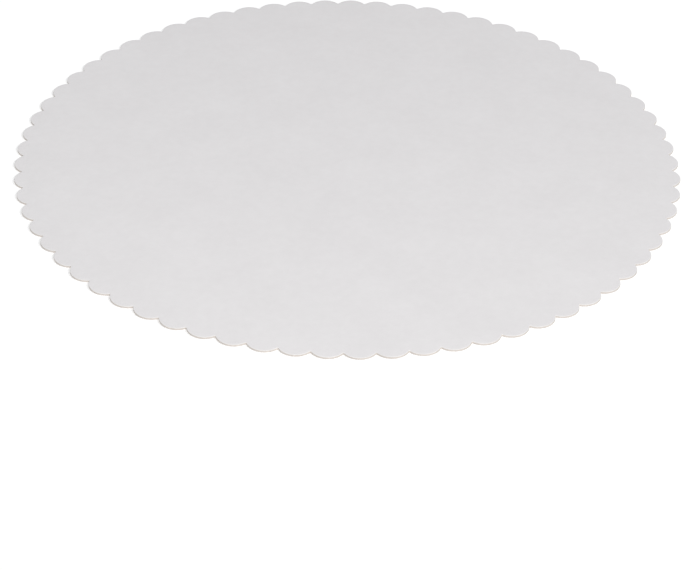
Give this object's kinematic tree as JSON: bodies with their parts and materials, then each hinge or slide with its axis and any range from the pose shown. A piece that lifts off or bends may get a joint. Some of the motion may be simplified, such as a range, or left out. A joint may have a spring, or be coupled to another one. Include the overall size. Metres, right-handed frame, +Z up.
{
  "type": "cake board",
  "caption": "Round disposable cake board: a flat disc of white cardboard with a scalloped die-cut rim, for a cake or tart to stand on.",
  "frame": {"origin": "middle of the underside, on the table", "axes": "+Z up, out of the face that carries the cake; a tip of a scallop at +Y and a notch at -Y"},
  "size_m": [0.25, 0.2499, 0.0009],
  "materials": {
    "cardboard": "matt, uncoated white face, a little warmer on the cut rim"
  },
  "bodies": {
    "root": {"board": "cardboard"}
  },
  "joints": []
}
